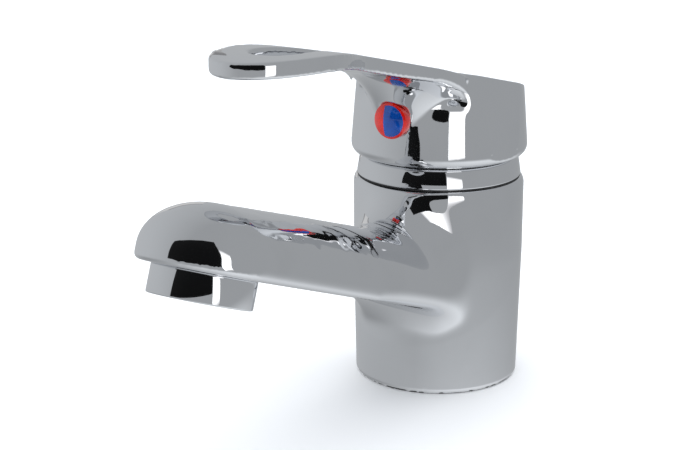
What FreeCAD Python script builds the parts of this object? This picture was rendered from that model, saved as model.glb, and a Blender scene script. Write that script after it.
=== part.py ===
"""Single-lever bathroom mixer faucet, built as its separate pieces.

Frame: the origin is the centre of the base on the basin deck, +Z is up and the spout points to -Y.
The lever is shut and points straight forward over the spout.
"""
import FreeCAD, Part
import math
import os

V = FreeCAD.Vector
X_AXIS = V(1, 0, 0)
Y_AXIS = V(0, 1, 0)
Z_AXIS = V(0, 0, 1)

# Body column
BASE_R = 25.0
BODY_TOP_R = 25.9
BODY_TOP_Z = 63.0
LIP_ROUND = 1.6
RECESS_R = 20.5
RECESS_H = 14.0
GASKET_OUTER_R = 24.0
GASKET_INNER_R = 21.5
GASKET_H = 1.5

# Cartridge seat, ports and fixing holes in the body
FLOOR_Z = 34.0
CAVITY_R = 20.3
NUT_THREAD_R = 22.0
NUT_THREAD_Z = 55.0
INLET_X = 8.5
INLET_Y = 4.0
OUTLET_Y = -9.0
PORT_R = 3.6
PORTS = [(INLET_X, INLET_Y), (-INLET_X, INLET_Y), (0, OUTLET_Y)]
INLET_THREAD_R = 4.5
INLET_THREAD_DEPTH = 10.0
STUD_HOLE_R = 3.4
STUD_HOLE_Y = 13.0
STUD_HOLE_DEPTH = 12.0
PEG_X = 13.0
PEG_Y = -8.0
PEG_R = 1.6
PEG_L = 3.0

# Spout, measured in its own sloping frame
SPOUT_TILT = 20.2
LIP_CENTRE = V(0, -115.4, 61.1)
NOZZLE_R = 18.0
NOZZLE_H = 17.2
SPOUT_ROOT_H = 21.8
SPOUT_EDGE_ROUND = 1.5
SPOUT_SIDE_H = 4.0
SPOUT_BLEND = 12.0
WATERWAY_H = 5.5
WATERWAY_R = 4.0
NOZZLE_THREAD_R = 12.0
NOZZLE_CHAMBER_R = 10.0
NOZZLE_CHAMBER_H = 10.5

# Aerator (male M24 x 1)
AERATOR_R = 13.5
AERATOR_SHOWN = 7.5
AERATOR_THREAD_R = 11.9
AERATOR_THREAD_L = 6.0
AERATOR_BORE_R = 10.6
AERATOR_MOUTH_R = 9.6
AERATOR_LIP = 1.0
INSERT_H = 10.5
SCREEN_T = 0.8
JET_PITCH = 3.6
JET_HOLE_R = 1.2

# Cartridge of the 40 mm kind
CARTRIDGE_R = 20.0
CARTRIDGE_BORE_R = 16.3
BASE_TOP_Z = 38.5
SHOULDER_Z = 57.0
HOUSING_NECK_R = 17.0
HOUSING_LIP_Z = 60.0
HOUSING_TOP_Z = 64.0
SEAL_R = 5.4
SEAL_H = 1.6
O_RING_INNER_R = 18.2
O_RING_H = 1.8
LIMIT_TEETH = 24
HEX_CORNER_R = 21.9
NUT_HEAD_H = 4.5

# Lever mechanism inside the cartridge
PIVOT_Z = 58.0
STEM_LEAN = 12.5
SLIDE_ARM = 9.5
SLIDE_SHUT_Y = SLIDE_ARM * math.sin(math.radians(STEM_LEAN))
FIXED_DISC_TOP_Z = 42.0
DISC_FILM = 0.05
MOVING_DISC_R = 12.5
MOVING_DISC_TOP_Z = 45.5
POCKET_R = 8.0
POCKET_H = 1.6
POCKET_SHIFT = 1.5
CARRIER_R = 13.5
CARRIER_TOP_Z = 49.5
CARRIER_PEG_R = 1.5
CARRIER_PEG_X = 10.0
CARRIER_PEG_L = 1.5
BALL_R = 2.5
BALL_GAP = 0.08
GUIDE_R = 16.0
GUIDE_NECK_R = 13.3
GUIDE_LOW_Z = 50.2
GUIDE_TOP_Z = 68.0
GUIDE_SLOT_Y = 7.0
GUIDE_GAP = 0.3
PIN_R = 1.5
PIN_HALF_L = 14.5
PIN_GAP = 0.05
STEM_W = 8.0
STEM_TOP = 35.0
STEM_HEEL = 4.0
STEM_NECK_R = 1.9

# Cover ring between body and handle
RING_BOTTOM_R = 24.9
RING_TOP_R = 24.2
RING_TOP_Z = 68.0
RING_WALL = 1.4
DOME_HOLE_R = 13.8
DOME_TOP_Z = 73.6

# Hub of the handle
HUB_R = 26.9
HUB_TOP_R = 25.3
HUB_TOP_Z = 90.0
HUB_INNER_R = 23.5
HUB_INNER_TOP_R = 23.0
HUB_BOTTOM_Z = 69.5
HUB_ROUND = 3.0
SHOULDER_TOP_Z = 89.5
SHOULDER_ROUND = 3.5
HUB_ROOF_Z = 84.0
CORE_R = 16.5
TOP_WALL = 4.0
FLANK_NORMAL = V(0.972, -0.2, 0.119)
FLANK_POINT = V(HUB_R, 1, 70)
FLANK_FRONT_Y = -45.0

# Throat under the lever
THROAT_LOW_Z = 80.0
THROAT_R = 20.0
THROAT_SWEEP = 84.0
THROAT_AXIS_Y = -16.0
THROAT_BACK_Y = -12.0

# Lever: height of its top along y, half its plan, and half the plan of the hole in its loop
HANDLE_AXIS_TOP_Z = 93.3
TOP_SLOPE = 14.1
LEVER_T = 4.3
SCOOP_Y = -17.0
SCOOP_H = 0.3
LEVER_TOP = [
    (-12.0, 96.3), (-26.0, 99.8), (-40.0, 103.4), (-52.0, 106.3),
    (-62.0, 108.6), (-74.0, 110.8), (-88.0, 111.8), (-107.0, 111.6),
]
LEVER_SIDE = [
    (26.6, 4.0), (24.4, -10.0), (19.4, -24.0), (14.2, -36.0), (10.9, -48.0), (10.0, -56.0),
    (12.2, -65.0), (15.2, -76.0), (15.3, -85.0), (13.0, -94.0), (7.4, -102.0), (0.0, -105.0),
]
LOOP_HOLE = [(0.0, -60.0), (2.6, -66.0), (5.8, -75.0), (6.8, -82.0), (5.0, -89.0), (0.0, -91.6)]

# Stem socket, clamping screw and indicator
SOCKET_R = 8.0
SOCKET_LOW = 21.5
SCREW_R = 2.5
SCREW_BOSS_R = 4.6
SCREW_L = 9.0
SCREW_TIP_Y = -10.5
PLUG_Z = 83.7
PLUG_R = 5.3
PLUG_RIM_Y = -28.5
PLUG_SEAT_Y = -26.0
PLUG_DOME = 1.5
BLUE_R = 4.6
BLUE_SIDE_X = -1.5
BLUE_BACK = 1.2


def cylinder(radius, z_low, z_high, x=0.0, y=0.0):
    return Part.makeCylinder(radius, z_high - z_low, V(x, y, z_low))


def tube(outer, inner, z_low, z_high, x=0.0, y=0.0):
    return cylinder(outer, z_low, z_high, x, y).cut(cylinder(inner, z_low - 1, z_high + 1, x, y))


def block(x_half, y_low, y_high, z_low, z_high):
    return Part.makeBox(2 * x_half, y_high - y_low, z_high - z_low, V(-x_half, y_low, z_low))


def turned(outline):
    """Solid turned about Z from (radius, z) points."""
    points = [V(r, 0, z) for r, z in outline]
    wire = Part.makePolygon(points + [points[0]])
    return Part.Face(wire).revolve(V(0, 0, 0), Z_AXIS, 360)


def spline(points):
    curve = Part.BSplineCurve()
    curve.interpolate(points)
    return curve.toShape()


def to_spout(shape):
    """Place a shape modelled with the lip plane at z = 0 and the outlet facing down."""
    shape.rotate(V(0, 0, 0), X_AXIS, -SPOUT_TILT)
    shape.translate(LIP_CENTRE)
    return shape


def to_stem(shape):
    """Place a shape modelled about a vertical stem with the pivot at z = 0."""
    shape.rotate(V(0, 0, 0), X_AXIS, STEM_LEAN)
    shape.translate(V(0, 0, PIVOT_Z))
    return shape


def crown(y, height, sweep):
    """Elliptical top of the spout's section, from the +X side."""
    ellipse = Part.Ellipse(V(NOZZLE_R, y, SPOUT_SIDE_H), V(0, y, height), V(0, y, SPOUT_SIDE_H))
    return Part.Arc(ellipse, 0, sweep).toBSpline().toShape()


def spout_section(y, height):
    """Closed outline across the spout: flat below, upright sides, half an ellipse on top."""
    low = SPOUT_EDGE_ROUND
    side = SPOUT_SIDE_H
    flat = NOZZLE_R - low
    corner = low * (1 - math.sqrt(0.5))
    edges = [Part.LineSegment(V(-flat, y, 0), V(flat, y, 0)).toShape()]
    near = Part.Arc(V(flat, y, 0), V(NOZZLE_R - corner, y, corner), V(NOZZLE_R, y, low))
    edges.append(near.toShape())
    edges.append(Part.LineSegment(V(NOZZLE_R, y, low), V(NOZZLE_R, y, side)).toShape())
    edges.append(crown(y, height, math.pi))
    edges.append(Part.LineSegment(V(-NOZZLE_R, y, side), V(-NOZZLE_R, y, low)).toShape())
    far = Part.Arc(V(-NOZZLE_R, y, low), V(corner - NOZZLE_R, y, corner), V(-flat, y, 0))
    edges.append(far.toShape())
    return Part.Wire(Part.__sortEdges__(edges))


def nozzle_dome():
    """Round front end of the spout: half of its section turned about the aerator's axis."""
    low = SPOUT_EDGE_ROUND
    corner = low * (1 - math.sqrt(0.5))
    side = SPOUT_SIDE_H
    edges = [
        Part.LineSegment(V(0, 0, 0), V(NOZZLE_R - low, 0, 0)).toShape(),
        Part.Arc(V(NOZZLE_R - low, 0, 0), V(NOZZLE_R - corner, 0, corner), V(NOZZLE_R, 0, low)).toShape(),
        Part.LineSegment(V(NOZZLE_R, 0, low), V(NOZZLE_R, 0, side)).toShape(),
        crown(0, NOZZLE_H, math.pi / 2),
        Part.LineSegment(V(0, 0, NOZZLE_H), V(0, 0, 0)).toShape(),
    ]
    face = Part.Face(Part.Wire(Part.__sortEdges__(edges)))
    return face.revolve(V(0, 0, 0), Z_AXIS, 360)


def body_casting():
    """Plated brass column and spout with the cartridge seat, waterways and threaded holes."""
    top = BODY_TOP_Z
    outline = [
        (0, 0), (BASE_R - 0.6, 0), (BASE_R, 0.6), (BODY_TOP_R, 40), (BODY_TOP_R, top - LIP_ROUND),
        (BODY_TOP_R - 0.47, top - 0.47), (BODY_TOP_R - LIP_ROUND, top), (0, top),
    ]
    column = turned(outline)
    length = -LIP_CENTRE.y / math.cos(math.radians(SPOUT_TILT))
    sections = [spout_section(0, NOZZLE_H), spout_section(length - 2, SPOUT_ROOT_H)]
    spout = to_spout(Part.makeLoft(sections, True, True).fuse(nozzle_dome()))
    body = column.fuse(spout).removeSplitter()
    root = []
    for edge in body.Edges:
        box = edge.BoundBox
        if box.YMax < -8 and box.YMin > -BODY_TOP_R - 1 and box.ZMin > 15:
            root.append(edge)
    body = body.makeFillet(SPOUT_BLEND, root)

    holes = [
        cylinder(CAVITY_R, FLOOR_Z, top + 1),
        cylinder(NUT_THREAD_R, NUT_THREAD_Z, top + 1),
        cylinder(RECESS_R, -1, RECESS_H),
        cylinder(STUD_HOLE_R, RECESS_H - 1, RECESS_H + STUD_HOLE_DEPTH, 0, STUD_HOLE_Y),
        cylinder(PORT_R, 27.8, FLOOR_Z + 1, 0, OUTLET_Y),
        tube(GASKET_OUTER_R, GASKET_INNER_R, -1, GASKET_H),
    ]
    for side in (-1, 1):
        holes.append(cylinder(PORT_R, RECESS_H - 1, FLOOR_Z + 1, side * INLET_X, INLET_Y))
        threaded_to = RECESS_H + INLET_THREAD_DEPTH
        holes.append(cylinder(INLET_THREAD_R, RECESS_H - 1, threaded_to, side * INLET_X, INLET_Y))
        holes.append(cylinder(PEG_R, FLOOR_Z - PEG_L, FLOOR_Z + 1, side * PEG_X, PEG_Y))
    run = -LIP_CENTRE.y + OUTLET_Y
    waterway_length = run / math.cos(math.radians(SPOUT_TILT))
    waterway = Part.makeCylinder(WATERWAY_R, waterway_length, V(0, 0, WATERWAY_H), Y_AXIS)
    holes.append(to_spout(waterway))
    holes.append(to_spout(cylinder(NOZZLE_THREAD_R, -1, AERATOR_THREAD_L + 1)))
    holes.append(to_spout(cylinder(NOZZLE_CHAMBER_R, 0, NOZZLE_CHAMBER_H)))
    for hole in holes:
        body = body.cut(hole)
    return body


def base_gasket():
    """Soft ring set flush in the foot of the body."""
    return tube(GASKET_OUTER_R, GASKET_INNER_R, 0, GASKET_H)


def aerator_housing():
    """Plated ring screwed into the nozzle, with its lower edge rounded and a lip that holds the insert."""
    shown = cylinder(AERATOR_R, -AERATOR_SHOWN, 0)
    low_edges = [edge for edge in shown.Edges if edge.BoundBox.ZMax < 0.01 - AERATOR_SHOWN]
    shown = shown.makeFillet(0.8, low_edges)
    ring = shown.fuse(cylinder(AERATOR_THREAD_R, 0, AERATOR_THREAD_L))
    ring = ring.cut(cylinder(AERATOR_BORE_R, AERATOR_LIP - AERATOR_SHOWN, AERATOR_THREAD_L + 1))
    ring = ring.cut(cylinder(AERATOR_MOUTH_R, -AERATOR_SHOWN - 1, 0))
    return to_spout(ring)


def aerator_insert():
    """Plastic jet former: a grid of fine upright channels inside a rim."""
    low = AERATOR_LIP - AERATOR_SHOWN
    core = cylinder(AERATOR_BORE_R, low, low + INSERT_H)
    for ring in range(3):
        count = 6 * ring or 1
        for step in range(count):
            angle = 2 * math.pi * step / count
            x = JET_PITCH * ring * math.cos(angle)
            y = JET_PITCH * ring * math.sin(angle)
            core = core.cut(cylinder(JET_HOLE_R, low - 1, low + INSERT_H + 1, x, y))
    return to_spout(core)


def aerator_screen():
    """Fine inlet strainer lying on the jet former."""
    low = AERATOR_LIP - AERATOR_SHOWN + INSERT_H
    return to_spout(cylinder(AERATOR_BORE_R, low, low + SCREEN_T))


def aerator_washer():
    """Flat seal between the housing's end and the nozzle."""
    return to_spout(tube(AERATOR_THREAD_R, AERATOR_BORE_R, AERATOR_THREAD_L, AERATOR_THREAD_L + 1))


def cartridge_base():
    """Plastic foot with two inlets, one outlet, seal grooves and two locating pegs."""
    foot = cylinder(CARTRIDGE_R, FLOOR_Z, BASE_TOP_Z)
    for side in (-1, 1):
        foot = foot.fuse(cylinder(PEG_R - 0.1, FLOOR_Z - PEG_L + 0.2, FLOOR_Z + 1, side * PEG_X, PEG_Y))
    for x, y in PORTS:
        foot = foot.cut(cylinder(PORT_R, FLOOR_Z - 1, BASE_TOP_Z + 1, x, y))
        foot = foot.cut(cylinder(SEAL_R, FLOOR_Z - 1, FLOOR_Z + SEAL_H, x, y))
    return foot.cut(tube(CARTRIDGE_R + 1, O_RING_INNER_R, BASE_TOP_Z - O_RING_H, BASE_TOP_Z + 1))


def port_seals():
    """Three soft rings that seal the ports against the floor of the seat."""
    return Part.makeCompound([tube(SEAL_R, PORT_R, FLOOR_Z, FLOOR_Z + SEAL_H, x, y) for x, y in PORTS])


def cartridge_o_ring():
    """Seal between the cartridge's foot and its housing."""
    return tube(CARTRIDGE_R, O_RING_INNER_R, BASE_TOP_Z - O_RING_H, BASE_TOP_Z)


def cartridge_housing():
    """Plastic shell with the clamping shoulder, the narrow neck and the lip that keeps the guide in."""
    neck = cylinder(HOUSING_NECK_R, SHOULDER_Z, HOUSING_TOP_Z)
    shell = cylinder(CARTRIDGE_R, BASE_TOP_Z, SHOULDER_Z).fuse(neck)
    shell = shell.cut(cylinder(CARTRIDGE_BORE_R, BASE_TOP_Z - 1, HOUSING_LIP_Z))
    return shell.cut(cylinder(GUIDE_NECK_R + GUIDE_GAP, HOUSING_LIP_Z - 1, HOUSING_TOP_Z + 1))


def fixed_disc():
    """Ceramic disc with two inlet slots and one outlet slot."""
    disc = cylinder(CARTRIDGE_BORE_R - 0.1, BASE_TOP_Z, FIXED_DISC_TOP_Z)
    for x, y in PORTS:
        disc = disc.cut(cylinder(PORT_R, BASE_TOP_Z - 1, FIXED_DISC_TOP_Z + 1, x, y))
    return disc


def moving_disc():
    """Ceramic disc whose pocket joins the inlets to the outlet when it slides and turns."""
    low = FIXED_DISC_TOP_Z + DISC_FILM
    disc = cylinder(MOVING_DISC_R, low, MOVING_DISC_TOP_Z, 0, SLIDE_SHUT_Y)
    disc = disc.cut(cylinder(POCKET_R, low - 1, low + POCKET_H, 0, SLIDE_SHUT_Y - POCKET_SHIFT))
    for side in (-1, 1):
        notch = cylinder(CARRIER_PEG_R, MOVING_DISC_TOP_Z - CARRIER_PEG_L, MOVING_DISC_TOP_Z + 1,
                         side * CARRIER_PEG_X, SLIDE_SHUT_Y)
        disc = disc.cut(notch)
    return disc


def disc_carrier():
    """Plastic plate pegged to the moving disc, with a slot for the ball of the stem."""
    plate = cylinder(CARRIER_R, MOVING_DISC_TOP_Z, CARRIER_TOP_Z, 0, SLIDE_SHUT_Y)
    for side in (-1, 1):
        peg = cylinder(CARRIER_PEG_R, MOVING_DISC_TOP_Z - CARRIER_PEG_L, MOVING_DISC_TOP_Z + 1,
                       side * CARRIER_PEG_X, SLIDE_SHUT_Y)
        plate = plate.fuse(peg)
    slot = block(BALL_R + 0.6, SLIDE_SHUT_Y - BALL_R - BALL_GAP, SLIDE_SHUT_Y + BALL_R + BALL_GAP,
                 MOVING_DISC_TOP_Z, CARRIER_TOP_Z + 1)
    return plate.cut(slot)


def stem_guide():
    """Plastic turret that turns in the housing and carries the pivot pin."""
    turret = cylinder(GUIDE_R, GUIDE_LOW_Z, HOUSING_LIP_Z - GUIDE_GAP)
    turret = turret.fuse(cylinder(GUIDE_NECK_R, GUIDE_LOW_Z + 1, GUIDE_TOP_Z))
    slot = block(STEM_W / 2 + GUIDE_GAP, -GUIDE_SLOT_Y, GUIDE_SLOT_Y, GUIDE_LOW_Z - 1, GUIDE_TOP_Z + 1)
    turret = turret.cut(slot)
    return turret.cut(Part.makeCylinder(PIN_R, 2 * PIN_HALF_L, V(-PIN_HALF_L, 0, PIVOT_Z), X_AXIS))


def pivot_pin():
    """Steel pin pressed across the guide; the stem rocks on it."""
    return Part.makeCylinder(PIN_R, 2 * PIN_HALF_L, V(-PIN_HALF_L, 0, PIVOT_Z), X_AXIS)


def turn_limit_ring():
    """Adjustable toothed ring on the housing that limits how far the lever turns to hot."""
    ring = tube(HOUSING_NECK_R, GUIDE_NECK_R + GUIDE_GAP, HOUSING_TOP_Z, HOUSING_TOP_Z + 2)
    for step in range(LIMIT_TEETH):
        tooth = block(0.5, HOUSING_NECK_R - 0.8, HOUSING_NECK_R + 1, HOUSING_TOP_Z - 1, HOUSING_TOP_Z + 3)
        tooth.rotate(V(0, 0, 0), Z_AXIS, 360 * step / LIMIT_TEETH)
        ring = ring.cut(tooth)
    return ring


def cartridge_nut():
    """Brass ring nut screwed into the body, clamping the cartridge by its shoulder."""
    ring = cylinder(NUT_THREAD_R - 0.1, SHOULDER_Z, BODY_TOP_Z)
    hexagon = [V(HEX_CORNER_R * math.cos(a), HEX_CORNER_R * math.sin(a), BODY_TOP_Z)
               for a in [math.pi * side / 3 for side in range(6)]]
    head = Part.Face(Part.makePolygon(hexagon + [hexagon[0]])).extrude(V(0, 0, NUT_HEAD_H))
    bore = cylinder(HOUSING_NECK_R + GUIDE_GAP, SHOULDER_Z - 1, BODY_TOP_Z + NUT_HEAD_H + 1)
    return ring.fuse(head).cut(bore)


def cover_ring():
    """Thin plated cap: the skirt shows between body and handle, the dome hides the nut."""
    low = BODY_TOP_Z
    outer = [(RING_BOTTOM_R - 0.5, low), (RING_BOTTOM_R, low + 0.5), (RING_TOP_R, RING_TOP_Z),
             (RING_TOP_R - 1.8, RING_TOP_Z + 2.2), (DOME_HOLE_R, DOME_TOP_Z)]
    inner = [(DOME_HOLE_R, DOME_TOP_Z - RING_WALL), (RING_TOP_R - 2.9, RING_TOP_Z + 0.9),
             (HEX_CORNER_R, RING_TOP_Z - 0.6), (HEX_CORNER_R, low)]
    return turned(outer + inner)


def lever_stem():
    """Square metal stem rocking on the pin, with a ball below that drives the disc carrier."""
    shaft = block(STEM_W / 2, -STEM_W / 2, STEM_W / 2, -STEM_HEEL, STEM_TOP)
    shaft = shaft.fuse(cylinder(STEM_NECK_R, -SLIDE_ARM, -STEM_HEEL + 1))
    shaft = shaft.fuse(Part.makeSphere(BALL_R, V(0, 0, -SLIDE_ARM)))
    pin_hole = Part.makeCylinder(PIN_R + PIN_GAP, 2 * STEM_W, V(-STEM_W, 0, 0), X_AXIS)
    return to_stem(shaft.cut(pin_hole))


def lever_outline():
    """Closed plan of the lever: hub arc behind, tapering sides, and the rounded loop in front."""
    side = [V(x, y, 0) for x, y in LEVER_SIDE]
    mirrored = [V(-p.x, p.y, 0) for p in reversed(side[:-1])]
    front = spline(side + mirrored)
    back = Part.Arc(side[0], V(0, HUB_R, 0), mirrored[-1]).toShape()
    return Part.Face(Part.Wire([back, front]))


def lever_blank():
    """Side view of the lever, wide enough to be trimmed by its plan: sloping top, thin front."""
    slope = math.tan(math.radians(TOP_SLOPE))
    back = V(0, HUB_R + 1, HANDLE_AXIS_TOP_Z - slope * (HUB_R + 1))
    top_points = [V(0, y, z) for y, z in LEVER_TOP]
    low_points = [V(0, y, z - LEVER_T) for y, z in reversed(LEVER_TOP[1:])]
    scoop = V(0, SCOOP_Y, SHOULDER_TOP_Z + SCOOP_H)
    low_points.append(scoop)
    heel = V(0, SCOOP_Y, HUB_BOTTOM_Z)
    edges = [
        Part.LineSegment(back, top_points[0]).toShape(),
        spline(top_points),
        Part.LineSegment(top_points[-1], low_points[0]).toShape(),
        spline(low_points),
        Part.LineSegment(scoop, heel).toShape(),
        Part.LineSegment(heel, V(0, HUB_R + 1, HUB_BOTTOM_Z)).toShape(),
        Part.LineSegment(V(0, HUB_R + 1, HUB_BOTTOM_Z), back).toShape(),
    ]
    face = Part.Face(Part.Wire(edges))
    face.translate(V(-HUB_R - 1, 0, 0))
    return face.extrude(V(2 * HUB_R + 2, 0, 0))


def handle_throat(above):
    """Concave throat, round in plan, flaring from the front of the hub up to the underside of the lever."""
    root_r = HUB_R + THROAT_AXIS_Y
    centre_r = root_r + THROAT_R
    sweep = math.radians(THROAT_SWEEP)
    low = THROAT_LOW_Z
    axis_y = THROAT_AXIS_Y
    start = V(root_r, axis_y, low)
    middle = V(centre_r - THROAT_R * math.cos(sweep / 2), axis_y, low + THROAT_R * math.sin(sweep / 2))
    tip = V(centre_r - THROAT_R * math.cos(sweep), axis_y, low + THROAT_R * math.sin(sweep))
    over_tip = tip + V(0, 0, LEVER_T / 2)
    edges = [
        Part.Arc(start, middle, tip).toShape(),
        Part.LineSegment(tip, over_tip).toShape(),
        Part.LineSegment(over_tip, V(0, axis_y, over_tip.z)).toShape(),
        Part.LineSegment(V(0, axis_y, over_tip.z), V(0, axis_y, low)).toShape(),
        Part.LineSegment(V(0, axis_y, low), start).toShape(),
    ]
    flare = Part.Face(Part.Wire(edges)).revolve(V(0, axis_y, 0), Z_AXIS, 360)
    flare = flare.common(block(40, -60, THROAT_BACK_Y, 0, 200)).common(lever_outline().extrude(V(0, 0, 200)))
    lowered = above.copy()
    lowered.translate(V(0, 0, -LEVER_T / 4))
    return flare.cut(lowered)


def flank(side):
    """Space outside the flat panel on one side of the handle."""
    normal = V(side * FLANK_NORMAL.x, FLANK_NORMAL.y, FLANK_NORMAL.z)
    cutter = Part.makeBox(200, 200, 40, V(-100, -100, 0))
    cutter.Placement = FreeCAD.Placement(V(side * FLANK_POINT.x, FLANK_POINT.y, FLANK_POINT.z),
                                         FreeCAD.Rotation(Z_AXIS, normal), V(0, 0, 0))
    return cutter.common(block(100, FLANK_FRONT_Y, 100, 0, 200))


def hub_cone(top_z):
    """Slightly tapering hub with its lower edge rounded."""
    taper = (HUB_R - HUB_TOP_R) / (HUB_TOP_Z - HUB_BOTTOM_Z)
    height = top_z - HUB_BOTTOM_Z
    cone = Part.makeCone(HUB_R, HUB_R - taper * height, height, V(0, 0, HUB_BOTTOM_Z))
    low = [edge for edge in cone.Edges if edge.BoundBox.ZMax < HUB_BOTTOM_Z + 0.01]
    return cone.makeFillet(HUB_ROUND, low)


def handle():
    """Zinc casting: round hub, throat and loop lever, hollow below, with the stem socket inside."""
    lever = lever_blank().common(lever_outline().extrude(V(0, 0, 200)))
    hole_side = [V(x, y, 0) for x, y in LOOP_HOLE]
    hole_back = [V(-point.x, point.y, 0) for point in reversed(hole_side[:-1])]
    loop_hole = Part.Face(Part.Wire([spline(hole_side + hole_back)]))
    lever = lever.cut(loop_hole.extrude(V(0, 0, 200)))

    drum = hub_cone(SHOULDER_TOP_Z)
    rim = [edge for edge in drum.Edges if edge.BoundBox.ZMin > SHOULDER_TOP_Z - 0.01]
    drum = drum.makeFillet(SHOULDER_ROUND, rim)
    slope = math.tan(math.radians(TOP_SLOPE))
    above = Part.Face(Part.makePolygon([
        V(-60, 40, HANDLE_AXIS_TOP_Z - 40 * slope), V(-60, -40, HANDLE_AXIS_TOP_Z + 40 * slope),
        V(-60, -40, 200), V(-60, 40, 200), V(-60, 40, HANDLE_AXIS_TOP_Z - 40 * slope)])).extrude(V(120, 0, 0))
    rear = lever.common(hub_cone(HANDLE_AXIS_TOP_Z + HUB_R))
    front = lever.cut(cylinder(HUB_R, HUB_BOTTOM_Z - 1, 150)).cut(block(40, -40, 40, 0, SHOULDER_TOP_Z))
    shape = drum.cut(above).fuse(rear).fuse(front).fuse(handle_throat(above))
    for side in (-1, 1):
        shape = shape.cut(flank(side))

    hollow = Part.makeCone(HUB_INNER_R, HUB_INNER_TOP_R, HUB_ROOF_Z - HUB_BOTTOM_Z, V(0, 0, HUB_BOTTOM_Z))
    shape = shape.cut(hollow)
    core = cylinder(CORE_R, HUB_ROOF_Z - 1, 150)
    lowered = above.copy()
    lowered.translate(V(0, 0, -TOP_WALL))
    shape = shape.cut(core.cut(lowered))

    socket = to_stem(cylinder(SOCKET_R, SOCKET_LOW, STEM_TOP + 4))
    screw_boss = Part.makeCylinder(SCREW_BOSS_R, HUB_R - 6, V(0, -HUB_R + 1, PLUG_Z), Y_AXIS)
    shape = shape.fuse(socket.cut(above)).fuse(screw_boss)
    shape = shape.cut(to_stem(block(STEM_W / 2, -STEM_W / 2, STEM_W / 2, 0, STEM_TOP)))
    shape = shape.cut(Part.makeCylinder(SCREW_R, HUB_R + 10, V(0, -HUB_R - 10, PLUG_Z), Y_AXIS))
    pocket = Part.makeCylinder(PLUG_R, 20, V(0, PLUG_SEAT_Y - 20, PLUG_Z), Y_AXIS)
    return shape.cut(pocket)


def set_screw():
    """Headless screw that clamps the handle to the stem."""
    screw = Part.makeCylinder(SCREW_R, SCREW_L, V(0, SCREW_TIP_Y - SCREW_L, PLUG_Z), Y_AXIS)
    socket = Part.makeCylinder(1.3, 2.5, V(0, SCREW_TIP_Y - SCREW_L, PLUG_Z), Y_AXIS)
    return screw.cut(socket)


def indicator_parts():
    """Red translucent cap pressed into the hub, and the blue piece set into its face."""
    length = PLUG_SEAT_Y - PLUG_RIM_Y
    cap = Part.makeCylinder(PLUG_R, length, V(0, PLUG_RIM_Y, PLUG_Z), Y_AXIS)
    dome_r = (PLUG_R ** 2 + PLUG_DOME ** 2) / (2 * PLUG_DOME)
    ball = Part.makeSphere(dome_r, V(0, PLUG_RIM_Y - PLUG_DOME + dome_r, PLUG_Z))
    front_half = Part.makeCylinder(PLUG_R, PLUG_DOME, V(0, PLUG_RIM_Y - PLUG_DOME, PLUG_Z), Y_AXIS)
    cap = cap.fuse(ball.common(front_half)).removeSplitter()
    insert = Part.makeCylinder(BLUE_R, 30, V(0, PLUG_RIM_Y - 10, PLUG_Z), Y_AXIS)
    insert = insert.common(Part.makeBox(30, 20, 30, V(BLUE_SIDE_X, PLUG_RIM_Y - PLUG_DOME - 1, PLUG_Z - 15)))
    insert = insert.common(Part.makeBox(60, 10, 60, V(-30, PLUG_RIM_Y + BLUE_BACK - 10, PLUG_Z - 30)))
    blue = insert.common(cap)
    return cap.cut(insert), blue


red_cap, blue_insert = indicator_parts()
PIECES = {
    "body_casting": body_casting(),
    "base_gasket": base_gasket(),
    "aerator_housing": aerator_housing(),
    "aerator_insert": aerator_insert(),
    "aerator_screen": aerator_screen(),
    "aerator_washer": aerator_washer(),
    "cartridge_base": cartridge_base(),
    "port_seals": port_seals(),
    "cartridge_o_ring": cartridge_o_ring(),
    "cartridge_housing": cartridge_housing(),
    "cartridge_nut": cartridge_nut(),
    "turn_limit_ring": turn_limit_ring(),
    "fixed_disc": fixed_disc(),
    "moving_disc": moving_disc(),
    "disc_carrier": disc_carrier(),
    "stem_guide": stem_guide(),
    "pivot_pin": pivot_pin(),
    "lever_stem": lever_stem(),
    "cover_ring": cover_ring(),
    "handle": handle(),
    "set_screw": set_screw(),
    "indicator_cap": red_cap,
    "indicator_blue": blue_insert,
}
os.makedirs("parts", exist_ok=True)
for name, shape in PIECES.items():
    print(f"{name:20s} solids {len(shape.Solids)} valid {shape.isValid()} volume {shape.Volume:9.1f} mm3")
    shape.exportStep(f"parts/{name}.step")
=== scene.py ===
import bpy
import math
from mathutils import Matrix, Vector


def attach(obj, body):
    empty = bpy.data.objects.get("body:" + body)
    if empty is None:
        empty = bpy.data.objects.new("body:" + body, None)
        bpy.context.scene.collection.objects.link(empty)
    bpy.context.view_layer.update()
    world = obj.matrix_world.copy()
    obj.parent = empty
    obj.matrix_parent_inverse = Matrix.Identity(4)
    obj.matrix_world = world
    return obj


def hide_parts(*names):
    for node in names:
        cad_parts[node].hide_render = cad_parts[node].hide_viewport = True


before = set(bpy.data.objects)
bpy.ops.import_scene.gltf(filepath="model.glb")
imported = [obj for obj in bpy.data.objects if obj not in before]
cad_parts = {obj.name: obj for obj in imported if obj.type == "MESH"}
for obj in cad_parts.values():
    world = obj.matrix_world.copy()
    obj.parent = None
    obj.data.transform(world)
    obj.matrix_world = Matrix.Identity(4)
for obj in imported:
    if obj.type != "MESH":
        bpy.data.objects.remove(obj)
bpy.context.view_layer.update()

# ---------------------------------------------------------------------------
# Where the faucet stands: a sheet of white paper, its colour painted darker and pale
# blue towards the back as distance shade, seen from the faucet's front right, a little above.
# ---------------------------------------------------------------------------
EYE = Vector((0.2344, -0.4105, 0.1778))
LOOKED_AT = Vector((-0.0227, -0.0147, 0.0460))
LENS_MM = 81.8
SENSOR_MM = 36.0
NEAREST_SEEN = 0.01
camera = bpy.data.objects.new("camera", bpy.data.cameras.new("camera"))
bpy.context.collection.objects.link(camera)
camera.location = EYE
camera.rotation_euler = (LOOKED_AT - EYE).to_track_quat("-Z", "Y").to_euler()
camera.data.lens = LENS_MM
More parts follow.
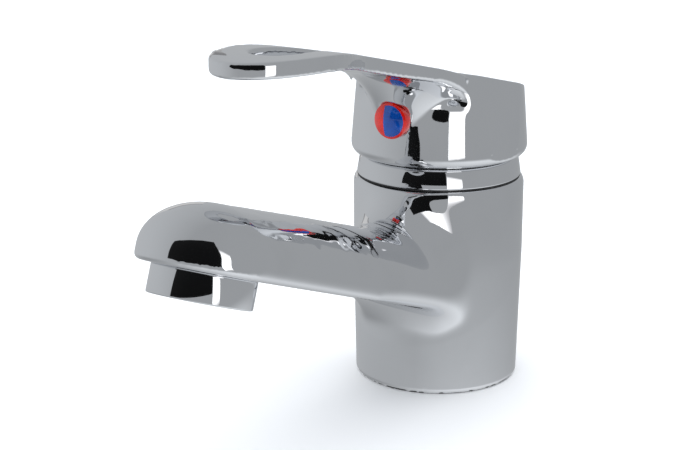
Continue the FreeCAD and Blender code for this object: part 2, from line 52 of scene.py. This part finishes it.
camera.data.sensor_width = SENSOR_MM
camera.data.clip_start = NEAREST_SEEN
bpy.context.scene.camera = camera
bpy.context.scene.view_settings.view_transform = "Standard"


class Value:
    """A number or colour in a finish. Sums and products of values add the nodes that work them out."""

    def __init__(self, finish, socket):
        self.finish = finish
        self.socket = socket

    def maths(self, operation, first, second):
        return self.finish.node("ShaderNodeMath", {"operation": operation}, {0: first, 1: second})

    def __add__(self, other):
        return self.maths("ADD", self, other)

    def __radd__(self, other):
        return self.maths("ADD", other, self)

    def __rsub__(self, other):
        return self.maths("SUBTRACT", other, self)

    def __mul__(self, other):
        return self.maths("MULTIPLY", self, other)


class Finish:
    """One procedural material. Plain settings go straight on the shader's own sockets."""

    def __init__(self, name, **plain):
        self.material = bpy.data.materials.new(name)
        self.material.use_nodes = True
        self.tree = self.material.node_tree
        self.shader = self.tree.nodes["Principled BSDF"]
        for socket, value in plain.items():
            self.shader.inputs[socket.replace("_", " ")].default_value = value

    def node(self, kind, settings=None, inputs=None, output=0):
        """Adds a node, sets what it is, feeds its sockets, and gives back one of its outputs."""
        made = self.tree.nodes.new(kind)
        for name, value in (settings or {}).items():
            if name == "stops":
                for stop, (place, colour) in zip(made.color_ramp.elements, value):
                    stop.position = place
                    stop.color = (*colour, 1)
            else:
                setattr(made, name, value)
        for name, value in (inputs or {}).items():
            self.feed(made.inputs[name], value)
        return Value(self, made.outputs[output])

    def feed(self, socket, value):
        if isinstance(value, Value):
            self.tree.links.new(value.socket, socket)
        else:
            socket.default_value = value

    def place(self):
        return self.node("ShaderNodeTexCoord", output=3)

    def noise(self, scale, detail=2.0):
        """Soft random pattern with about `scale` patches to the metre."""
        return self.node("ShaderNodeTexNoise",
                         inputs={"Vector": self.place(), "Scale": scale, "Detail": detail})

    def ramp(self, factor, low, high, dark=(0, 0, 0), light=(1, 1, 1)):
        return self.node("ShaderNodeValToRGB", {"stops": [(low, dark), (high, light)]}, {"Fac": factor})

    def relief(self, height, strength, distance):
        """Fine bumps; distance is the depth in metres of a height of one."""
        bump = self.node("ShaderNodeBump",
                         inputs={"Height": height, "Strength": strength, "Distance": distance})
        self.feed(self.shader.inputs["Normal"], bump)

    def vary(self, socket, value):
        self.feed(self.shader.inputs[socket], value)

    def put_on(self, piece):
        """Makes this the only material of a piece."""
        piece.data.materials.clear()
        piece.data.materials.append(self.material)


def cleared():
    """Leaves nothing selected, ready for the next primitive."""
    if bpy.context.object and bpy.context.object.mode != "OBJECT":
        bpy.ops.object.mode_set(mode="OBJECT")
    bpy.ops.object.select_all(action="DESELECT")


def only(piece):
    cleared()
    piece.select_set(True)
    bpy.context.view_layer.objects.active = piece


def finished(piece, name):
    """Names a piece, applies its modifiers and its place, and leaves it at the origin."""
    only(piece)
    for modifier in list(piece.modifiers):
        bpy.ops.object.modifier_apply(modifier=modifier.name)
    bpy.ops.object.transform_apply(location=True, rotation=True, scale=True)
    piece.name = name
    piece.data.name = name
    return piece


FLOOR_SIZE = 8.0
cleared()
bpy.ops.mesh.primitive_plane_add(size=FLOOR_SIZE, location=(0, 0, 0))
floor = bpy.context.object
floor.name = "floor"
floor.visible_glossy = False
paper = Finish("white_paper", Roughness=0.8)
# Painted distance shade: the white paper's colour turns darker and pale blue towards the back. A faint random
# mottle is the paper's own tone.
far = paper.node("ShaderNodeSeparateXYZ", inputs={"Vector": paper.place()}, output=1)
distance_shade_and_mottle = far * 0.5 + paper.noise(5.0) * 0.06
paper.vary("Base Color", paper.ramp(distance_shade_and_mottle, 0.10, 1.0, (0.92, 0.92, 0.92), (0.74, 0.82, 0.92)))
paper.put_on(floor)

# The room: grey walls, lighter on the spout's far side, over paper that is bright near the faucet's right.
# Only reflections show it: the camera, and the paper's own shade, have a pale distance instead.
WALL = 0.385
WALL_LEFT = 0.15
PAPER = 0.60
PAPER_RIGHT = 0.34
DISTANCE_SHADE = (0.86, 0.91, 0.98)
world = bpy.data.worlds.new("studio")
bpy.context.scene.world = world
world.use_nodes = True


class Room(Finish):
    """The world's own nodes, built with the same words as a finish."""

    def __init__(self):
        self.tree = world.node_tree
        self.shader = self.tree.nodes["Background"]


room = Room()
seen_directly = room.node("ShaderNodeLightPath") + room.node("ShaderNodeLightPath", output=2)
looking = room.node("ShaderNodeTexCoord")
rightwards = room.node("ShaderNodeSeparateXYZ", inputs={"Vector": looking})
upwards = room.node("ShaderNodeSeparateXYZ", inputs={"Vector": looking}, output=2)
leftness = room.node("ShaderNodeMath", {"operation": "MAXIMUM"}, {0: rightwards * -1.0, 1: 0.0})
walls = WALL + leftness * WALL_LEFT
sheet = PAPER + rightwards * PAPER_RIGHT
below = room.node("ShaderNodeMapRange", {"interpolation_type": "SMOOTHSTEP"},
                  {"Value": upwards, "From Min": -0.26, "From Max": -0.62})
level = walls * (1.0 - below) + sheet * below
tint = room.node("ShaderNodeCombineColor", inputs={"Red": level * 0.97, "Green": level, "Blue": level * 1.03})
shown = room.node("ShaderNodeMix", {"data_type": "RGBA"},
                  {0: seen_directly, 6: tint, 7: (*DISTANCE_SHADE, 1)}, output=2)
room.feed(room.shader.inputs["Color"], shown)


def card(name, left, right, low, high, glow):
    """Upright panel between two points of the floor, black if its glow is 0. Only reflections show it."""
    across = Vector(right) - Vector(left)
    middle = (Vector(left) + Vector(right)) / 2
    cleared()
    bpy.ops.mesh.primitive_plane_add(size=1.0, location=(middle.x, middle.y, (low + high) / 2),
                                     rotation=(math.radians(90), 0, math.atan2(across.y, across.x)))
    panel = bpy.context.object
    panel.scale = (across.length, high - low, 1)
    panel.name = name
    coat = Finish(name, Base_Color=(0, 0, 0, 1), Roughness=1.0, Emission_Strength=glow)
    height = coat.node("ShaderNodeSeparateXYZ", inputs={"Vector": coat.place()}, output=1)
    edge = coat.node("ShaderNodeMath", {"operation": "ABSOLUTE"}, {0: height}) * 2.0
    coat.vary("Emission Color", coat.ramp(edge, 0.55, 1.0, (1.0, 1.0, 1.0), (0.3, 0.3, 0.31)))
    coat.put_on(panel)
    panel.visible_camera = False
    panel.visible_diffuse = False
    panel.visible_shadow = False


card("dark_card", left=(-0.170, -0.450), right=(0.198, -0.232), low=0.076, high=0.370, glow=0.0)
card("bright_card", left=(0.204, -0.232), right=(0.440, -0.232), low=-0.020, high=0.220, glow=1.7)
card("bright_card_behind", left=(-0.420, 0.440), right=(-0.530, 0.310), low=0.010, high=0.240, glow=0.62)


MID_BODY = Vector((0, 0, 0.05))


def lamp(name, place, size, power):
    """Square soft light aimed at the middle of the body. Reflections don't show it."""
    light = bpy.data.lights.new(name, "AREA")
    light.size = size
    light.energy = power
    holder = bpy.data.objects.new(name, light)
    bpy.context.collection.objects.link(holder)
    holder.location = place
    holder.rotation_euler = (MID_BODY - Vector(place)).to_track_quat("-Z", "Y").to_euler()
    holder.visible_glossy = False


lamp("overhead", place=(0.0, 0.3, 1.7), size=3.0, power=34.0)
lamp("front_fill", place=(-0.6, -1.2, 0.9), size=1.0, power=4.0)

# ---------------------------------------------------------------------------
# Body: one brass casting, column and spout together, chrome plated. Its join
# and the spout's saddle are ground softer by hand before polishing.
# ---------------------------------------------------------------------------
CHROME_SHADE = (0.80, 0.81, 0.83)
BODY_GRAIN = 0.00068
BODY_RUBS = 8
JOIN_CENTRE = Vector((0, -0.027, 0.040))
JOIN_REACH = 0.040
JOIN_FLATNESS = 1.6
JOIN_RUBS = 170
SADDLE_CENTRE = Vector((0, -0.050, 0.066))
SADDLE_REACH = 0.022
SADDLE_RUBS = 90
COLUMN_FOOT_Z = 0.001
COLUMN_FOOT_R = 0.0250
COLUMN_R = 0.0259
COLUMN_WIDEST_Z = 0.040
COLUMN_LIP_Z = 0.0608
RUB_FACTOR = 0.5
TRUE_WITHIN = 0.0004


def chrome(name, polish):
    """Bright plate: faint waviness from hand polishing, and a thin film of dried water and finger marks."""
    plate = Finish(name, Metallic=1.0)
    film = plate.ramp(plate.noise(45.0, 4.0), 0.52, 0.80)
    specks = plate.ramp(plate.noise(1400.0, 1.0), 0.66, 0.78)
    plate.vary("Roughness", polish + film * 0.035 + specks * 0.03)
    dull = tuple(channel * 0.95 for channel in CHROME_SHADE)
    plate.vary("Base Color", plate.ramp(film, 0.0, 1.0, CHROME_SHADE, dull))
    plate.relief(plate.noise(70.0, 1.0), 0.35, 0.00005)
    return plate


def copy_of(node, name):
    """A joined-up copy of a part's own shape, ready for finishing."""
    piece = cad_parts[node].copy()
    piece.data = piece.data.copy()
    bpy.context.collection.objects.link(piece)
    piece.name = name
    only(piece)
    bpy.ops.object.mode_set(mode="EDIT")
    bpy.ops.mesh.select_all(action="SELECT")
    bpy.ops.mesh.remove_doubles(threshold=0.00001)
    bpy.ops.mesh.normals_make_consistent(inside=False)
    bpy.ops.object.mode_set(mode="OBJECT")
    return piece


def cast_and_polished(piece, grain, rubs):
    """Rebuilds the skin in small even faces and rounds it over, as polishing rounds a casting."""
    skin = piece.modifiers.new("skin", "REMESH")
    skin.mode = "VOXEL"
    skin.voxel_size = grain
    skin.use_smooth_shade = True
    rub = piece.modifiers.new("rub", "SMOOTH")
    rub.factor = RUB_FACTOR
    rub.iterations = rubs
    return finished(piece, piece.name)


def ground_away(piece, centre, reach, rubs, flatness=1.0):
    """Grinds one place softer, most at its centre. Flatness shortens its reach in height."""
    place = piece.vertex_groups.new(name="ground")
    for vertex in piece.data.vertices:
        apart = vertex.co - centre
        nearness = 1 - Vector((apart.x, apart.y, apart.z * flatness)).length / reach
        if nearness > 0:
            place.add([vertex.index], min(1.0, 2.0 * nearness), "REPLACE")
    grind = piece.modifiers.new("grind", "SMOOTH")
    grind.factor = RUB_FACTOR
    grind.iterations = rubs
    grind.vertex_group = place.name
    return finished(piece, piece.name)


def trued(piece, low, high, low_radius, high_radius):
    """Brings a turned face back to its own cone. What already stands off it, such as a hollow, stays."""
    for vertex in piece.data.vertices:
        place = vertex.co
        if low < place.z < high:
            radius = low_radius + (high_radius - low_radius) * (place.z - low) / (high - low)
            out = math.hypot(place.x, place.y)
            error = out - radius
            if abs(error) < TRUE_WITHIN:
                exact = (radius + error * (error / TRUE_WITHIN) ** 4) / out
                vertex.co = (place.x * exact, place.y * exact, place.z)


body = cast_and_polished(copy_of("body_casting", "body"), BODY_GRAIN, BODY_RUBS)
trued(body, COLUMN_FOOT_Z, COLUMN_WIDEST_Z, COLUMN_FOOT_R, COLUMN_R)
trued(body, COLUMN_WIDEST_Z, COLUMN_LIP_Z, COLUMN_R, COLUMN_R)
body = ground_away(body, JOIN_CENTRE, JOIN_REACH, JOIN_RUBS, JOIN_FLATNESS)
body = ground_away(body, SADDLE_CENTRE, SADDLE_REACH, SADDLE_RUBS)
chrome("body_chrome", 0.03).put_on(body)
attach(body, "body")
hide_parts("body_casting")

# ---------------------------------------------------------------------------
# Foot gasket: a moulded rubber ring in a groove under the body, matt, with
# the fine dust that rubber always holds.
# ---------------------------------------------------------------------------


def rubber(name):
    skin = Finish(name)
    dust = skin.ramp(skin.noise(260.0, 5.0), 0.45, 0.75)
    skin.vary("Base Color", skin.ramp(dust, 0.0, 1.0, (0.012, 0.012, 0.013), (0.045, 0.044, 0.042)))
    skin.vary("Roughness", 0.55 + dust * 0.25)
    skin.relief(skin.noise(1800.0, 3.0), 0.4, 0.00003)
    return skin


rubber("gasket_rubber").put_on(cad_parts["base_gasket"])

# ---------------------------------------------------------------------------
# Aerator: a turned and plated ring screwed up into the nozzle. It holds a
# moulded plastic comb of six-sided channels under a woven steel strainer.
# ---------------------------------------------------------------------------
LIP_CENTRE = Vector((0, -0.1154, 0.0611))
SPOUT_TILT = math.radians(20.2)
RING_R = 0.0135
RING_H = 0.0075
RING_WALL = 0.0039
RING_EDGE = 0.0004
THREAD_R = 0.0119
THREAD_LOW = 0.0001
THREAD_H = 0.0055
THREAD_WALL = 0.0012
THREAD_EDGE = 0.0003
CELL_R = 0.00105
CELL_H = 0.0052
CELL_WALL = 0.00022
CELL_ROWS = 6
COMB_R = 0.0094
COMB_LOW = -0.0063
COMB_LAP = 0.0001
COMB_RIM = 0.0007


def tube(radius, low, high, wall, sides=160):
    """Open-ended pipe upright at the origin, its wall built inwards."""
    cleared()
    bpy.ops.mesh.primitive_cylinder_add(vertices=sides, radius=radius, depth=high - low,
                                        end_fill_type="NOTHING", location=(0, 0, (low + high) / 2))
    piece = bpy.context.object
    thickness = piece.modifiers.new("wall", "SOLIDIFY")
    thickness.thickness = wall
    thickness.offset = -1.0
    thickness.use_even_offset = True
    return finished(piece, "tube")


def softened(piece, width):
    """Breaks the sharp edges of a turned or moulded piece."""
    rounding = piece.modifiers.new("edges", "BEVEL")
    rounding.width = width
    rounding.segments = 3
    rounding.limit_method = "ANGLE"
    rounding.angle_limit = math.radians(40)
    finished(piece, piece.name)
    bpy.ops.object.shade_smooth_by_angle(angle=math.radians(35))
    return piece


def joined(pieces, name):
    only(pieces[0])
    for piece in pieces:
        piece.select_set(True)
    bpy.ops.object.join()
    return finished(bpy.context.object, name)


def hung_on_nozzle(piece):
    """Takes a piece made upright at the origin to the outlet, square to the sloping spout."""
    piece.rotation_euler = (-SPOUT_TILT, 0, 0)
    piece.location = LIP_CENTRE
    return finished(piece, piece.name)


aerator = joined([softened(tube(RING_R, -RING_H, 0.0, RING_WALL), RING_EDGE),
                  softened(tube(THREAD_R, THREAD_LOW, THREAD_H, THREAD_WALL), THREAD_EDGE)],
                 "aerator_ring")
aerator = hung_on_nozzle(aerator)
chrome("aerator_chrome", 0.035).put_on(aerator)
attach(aerator, "body")
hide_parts("aerator_housing")

cells = []
hexagon = math.cos(math.radians(30))
step = (2 * CELL_R - CELL_WALL) * hexagon
for row in range(-CELL_ROWS, CELL_ROWS + 1):
    for column in range(-CELL_ROWS, CELL_ROWS + 1):
        x = step * (column + 0.5 * (row % 2))
        y = step * row * hexagon
        if math.hypot(x, y) + CELL_R < COMB_R:
            cell = tube(CELL_R, COMB_LOW, COMB_LOW + CELL_H, CELL_WALL, sides=6)
            cell.location = (x, y, 0)
            cells.append(cell)
rim = tube(COMB_R + COMB_LAP, COMB_LOW - COMB_LAP, COMB_LOW + CELL_H, COMB_RIM, sides=96)
comb = hung_on_nozzle(joined([rim] + cells, "jet_former"))


def moulded(name, colour, gloss=0.35):
    """Plastic from a mould: even colour with slow flow marks, and a very fine spark texture."""
    skin = Finish(name, IOR=1.48)
    flow = skin.noise(120.0, 3.0)
    paler = tuple(min(1.0, channel * 1.10 + 0.01) for channel in colour)
    skin.vary("Base Color", skin.ramp(flow, 0.35, 0.70, colour, paler))
    skin.vary("Roughness", gloss + flow * 0.12)
    skin.relief(skin.noise(2400.0, 2.0), 0.25, 0.00002)
    return skin


moulded("comb_plastic", (0.78, 0.79, 0.78)).put_on(comb)
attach(comb, "body")
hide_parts("aerator_insert")
rubber("washer_rubber").put_on(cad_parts["aerator_washer"])


def steel(name):
    """Bare stainless steel, drawn or cut, with a fine directionless scratch."""
    metal = Finish(name, Metallic=1.0)
    scratch = metal.noise(1080.0, 5.0)
    metal.vary("Base Color", metal.ramp(scratch, 0.3, 0.7, (0.50, 0.50, 0.49), (0.62, 0.62, 0.61)))
    metal.vary("Roughness", 0.24 + scratch * 0.16)
    metal.relief(scratch, 0.3, 0.00002)
    return metal


strainer = Finish("woven_strainer", Metallic=1.0)
weave = strainer.node("ShaderNodeTexChecker", inputs={"Vector": strainer.place(), "Scale": 2600.0}, output=1)
strainer.vary("Base Color", strainer.ramp(weave, 0.0, 1.0, (0.08, 0.08, 0.08), (0.62, 0.62, 0.60)))
strainer.vary("Roughness", 0.30 + weave * 0.15)
strainer.relief(weave, 0.6, 0.00008)
strainer.put_on(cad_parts["aerator_screen"])

# ---------------------------------------------------------------------------
# Cartridge: two lapped ceramic discs in a moulded case, with rubber seals
# below and a turning guide above that carries the lever's stem.
# ---------------------------------------------------------------------------
moulded("cartridge_base_plastic", (0.72, 0.73, 0.74)).put_on(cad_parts["cartridge_base"])
moulded("cartridge_case_plastic", (0.66, 0.67, 0.68)).put_on(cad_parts["cartridge_housing"])
moulded("guide_plastic", (0.20, 0.21, 0.22), 0.42).put_on(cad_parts["stem_guide"])
moulded("carrier_plastic", (0.24, 0.25, 0.26), 0.42).put_on(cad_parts["disc_carrier"])
moulded("limit_ring_plastic", (0.62, 0.035, 0.02), 0.38).put_on(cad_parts["turn_limit_ring"])
rubber("port_seal_rubber").put_on(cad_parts["port_seals"])
rubber("case_seal_rubber").put_on(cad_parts["cartridge_o_ring"])


def ceramic(name, colour):
    """Lapped alumina: nearly white, dense, with faint grey grain and a satin face."""
    stone = Finish(name, IOR=1.76)
    grain = stone.noise(900.0, 6.0)
    darker = tuple(channel * 0.90 for channel in colour)
    stone.vary("Base Color", stone.ramp(grain, 0.38, 0.62, darker, colour))
    stone.vary("Roughness", 0.16 + grain * 0.14)
    return stone


ceramic("fixed_disc_ceramic", (0.86, 0.85, 0.82)).put_on(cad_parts["fixed_disc"])
ceramic("moving_disc_ceramic", (0.80, 0.80, 0.79)).put_on(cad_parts["moving_disc"])
steel("pin_steel").put_on(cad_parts["pivot_pin"])


def brass(name):
    """Machined brass: turning marks, and patches where it has begun to dull."""
    metal = Finish(name, Metallic=1.0)
    dulled = metal.ramp(metal.noise(130.0, 5.0), 0.42, 0.68)
    marks = metal.node("ShaderNodeTexWave", {"wave_type": "RINGS", "rings_direction": "Z"},
                       {"Vector": metal.place(), "Scale": 700.0, "Distortion": 0.6}, output=1)
    metal.vary("Base Color", metal.ramp(dulled, 0.0, 1.0, (0.78, 0.56, 0.25), (0.58, 0.41, 0.19)))
    metal.vary("Roughness", 0.20 + dulled * 0.18 + marks * 0.05)
    metal.relief(marks, 0.2, 0.00002)
    return metal


brass("nut_brass").put_on(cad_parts["cartridge_nut"])
brass("stem_brass").put_on(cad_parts["lever_stem"])

# ---------------------------------------------------------------------------
# Cover ring: a thin pressed cap, chrome plated, that hides the nut. Only its
# skirt shows, between a dark shadow line below, painted as a thin black ring, and the hub above.
# ---------------------------------------------------------------------------
CAP_OUTSIDE = [(0.02430, 0.06285), (0.02490, 0.06350), (0.02420, 0.06800),
               (0.02240, 0.07020), (0.01380, 0.07360)]
CAP_INSIDE = [(0.01380, 0.07220), (0.02130, 0.06890), (0.02190, 0.06740), (0.02190, 0.06300)]
CAP_EDGE = 0.00025
# Size of the thin black ring that paints the shadow line under the cap's foot.
SHADOW_SEAL_R = 0.0244
SHADOW_SEAL_THICK = 0.0004
SHADOW_SEAL_SQUASH = 0.8


def turned(outline, name):
    """Closed ring turned about the upright axis from (radius, height) points."""
    radius, height = outline[0]
    cleared()
    bpy.ops.mesh.primitive_circle_add(vertices=192, radius=radius, location=(0, 0, height),
                                      fill_type="NOTHING")
    piece = finished(bpy.context.object, name)
    bpy.ops.object.mode_set(mode="EDIT")
    bpy.ops.mesh.select_all(action="SELECT")
    for next_radius, next_height in outline[1:] + outline[:1]:
        bpy.ops.mesh.extrude_region_move(TRANSFORM_OT_translate={"value": (0, 0, next_height - height)})
        growth = next_radius / radius
        bpy.ops.transform.resize(value=(growth, growth, 1), center_override=(0, 0, next_height))
        radius, height = next_radius, next_height
    bpy.ops.mesh.select_all(action="SELECT")
    bpy.ops.mesh.remove_doubles(threshold=0.00001)
    bpy.ops.mesh.normals_make_consistent(inside=False)
    bpy.ops.object.mode_set(mode="OBJECT")
    return piece


cap = softened(turned(CAP_OUTSIDE + CAP_INSIDE, "cover_cap"), CAP_EDGE)
chrome("cover_chrome", 0.03).put_on(cap)
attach(cap, "body")
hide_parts("cover_ring")

# Painted shadow: a thin black rubber ring at the cap's foot makes the dark shadow line in the groove between
# cap and body.
cleared()
bpy.ops.mesh.primitive_torus_add(major_radius=SHADOW_SEAL_R, minor_radius=SHADOW_SEAL_THICK,
                                 major_segments=160, minor_segments=12,
                                 location=(0, 0, CAP_OUTSIDE[0][1] + SHADOW_SEAL_THICK / 2))
shadow_line_seal = bpy.context.object
shadow_line_seal.scale.z = SHADOW_SEAL_SQUASH
shadow_line_seal = finished(shadow_line_seal, "cover_shadow_line_seal")
bpy.ops.object.shade_smooth()
rubber("cover_shadow_line_seal_rubber").put_on(shadow_line_seal)
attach(shadow_line_seal, "body")

# ---------------------------------------------------------------------------
# Handle: a hollow zinc casting with the looped lever, chrome plated. Its
# scoop under the lever is polished out by hand, so it has no hard line.
# ---------------------------------------------------------------------------
HANDLE_GRAIN = 0.00047
HANDLE_RUBS = 9
HUB_LOW_Z, HUB_LOW_R = 0.0732, 0.02661
HUB_HIGH_Z, HUB_HIGH_R = 0.0855, 0.02565
SCOOP = Vector((0.018, -0.022, 0.0925))
SCOOP_REACH = 0.010
THROAT_EDGE = Vector((0.0100, -0.0240, 0.0870))
THROAT_REACH = 0.009
SCOOP_RUBS = 60

handle = cast_and_polished(copy_of("handle", "lever_handle"), HANDLE_GRAIN, HANDLE_RUBS)
trued(handle, HUB_LOW_Z, HUB_HIGH_Z, HUB_LOW_R, HUB_HIGH_R)
for side in (-1, 1):
    for centre, reach in ((SCOOP, SCOOP_REACH), (THROAT_EDGE, THROAT_REACH)):
        handle = ground_away(handle, Vector((side * centre.x, centre.y, centre.z)), reach, SCOOP_RUBS)
chrome("handle_chrome", 0.03).put_on(handle)
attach(handle, "lever")
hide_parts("handle")
steel("set_screw_steel").put_on(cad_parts["set_screw"])

# ---------------------------------------------------------------------------
# Indicator: a clear red cap, domed and glossy, pressed into the hub, with a
# blue piece set into its face for the cold side.
# ---------------------------------------------------------------------------


def glossy_cap(name, colour, deep):
    """Dyed acrylic: colour that deepens in soft clouds under a hard clear surface."""
    lens = Finish(name, Roughness=0.12, Coat_Weight=1.0, Coat_Roughness=0.02, IOR=1.49)
    clouds = lens.noise(300.0, 2.0)
    lens.vary("Base Color", lens.ramp(clouds, 0.30, 0.70, deep, colour))
    lens.relief(lens.noise(380.0, 1.0), 0.35, 0.00004)
    return lens


RED_EDGE = 0.00025
BLUE_EDGE = 0.00015
red_cap = softened(copy_of("indicator_cap", "indicator_red"), RED_EDGE)
glossy_cap("cap_red", (0.74, 0.008, 0.001), (0.56, 0.004, 0.001)).put_on(red_cap)
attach(red_cap, "lever")
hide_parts("indicator_cap")

blue_face = softened(copy_of("indicator_blue", "indicator_cold"), BLUE_EDGE)
glossy_cap("cap_blue", (0.001, 0.075, 0.40), (0.001, 0.045, 0.27)).put_on(blue_face)
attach(blue_face, "lever")
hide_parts("indicator_blue")
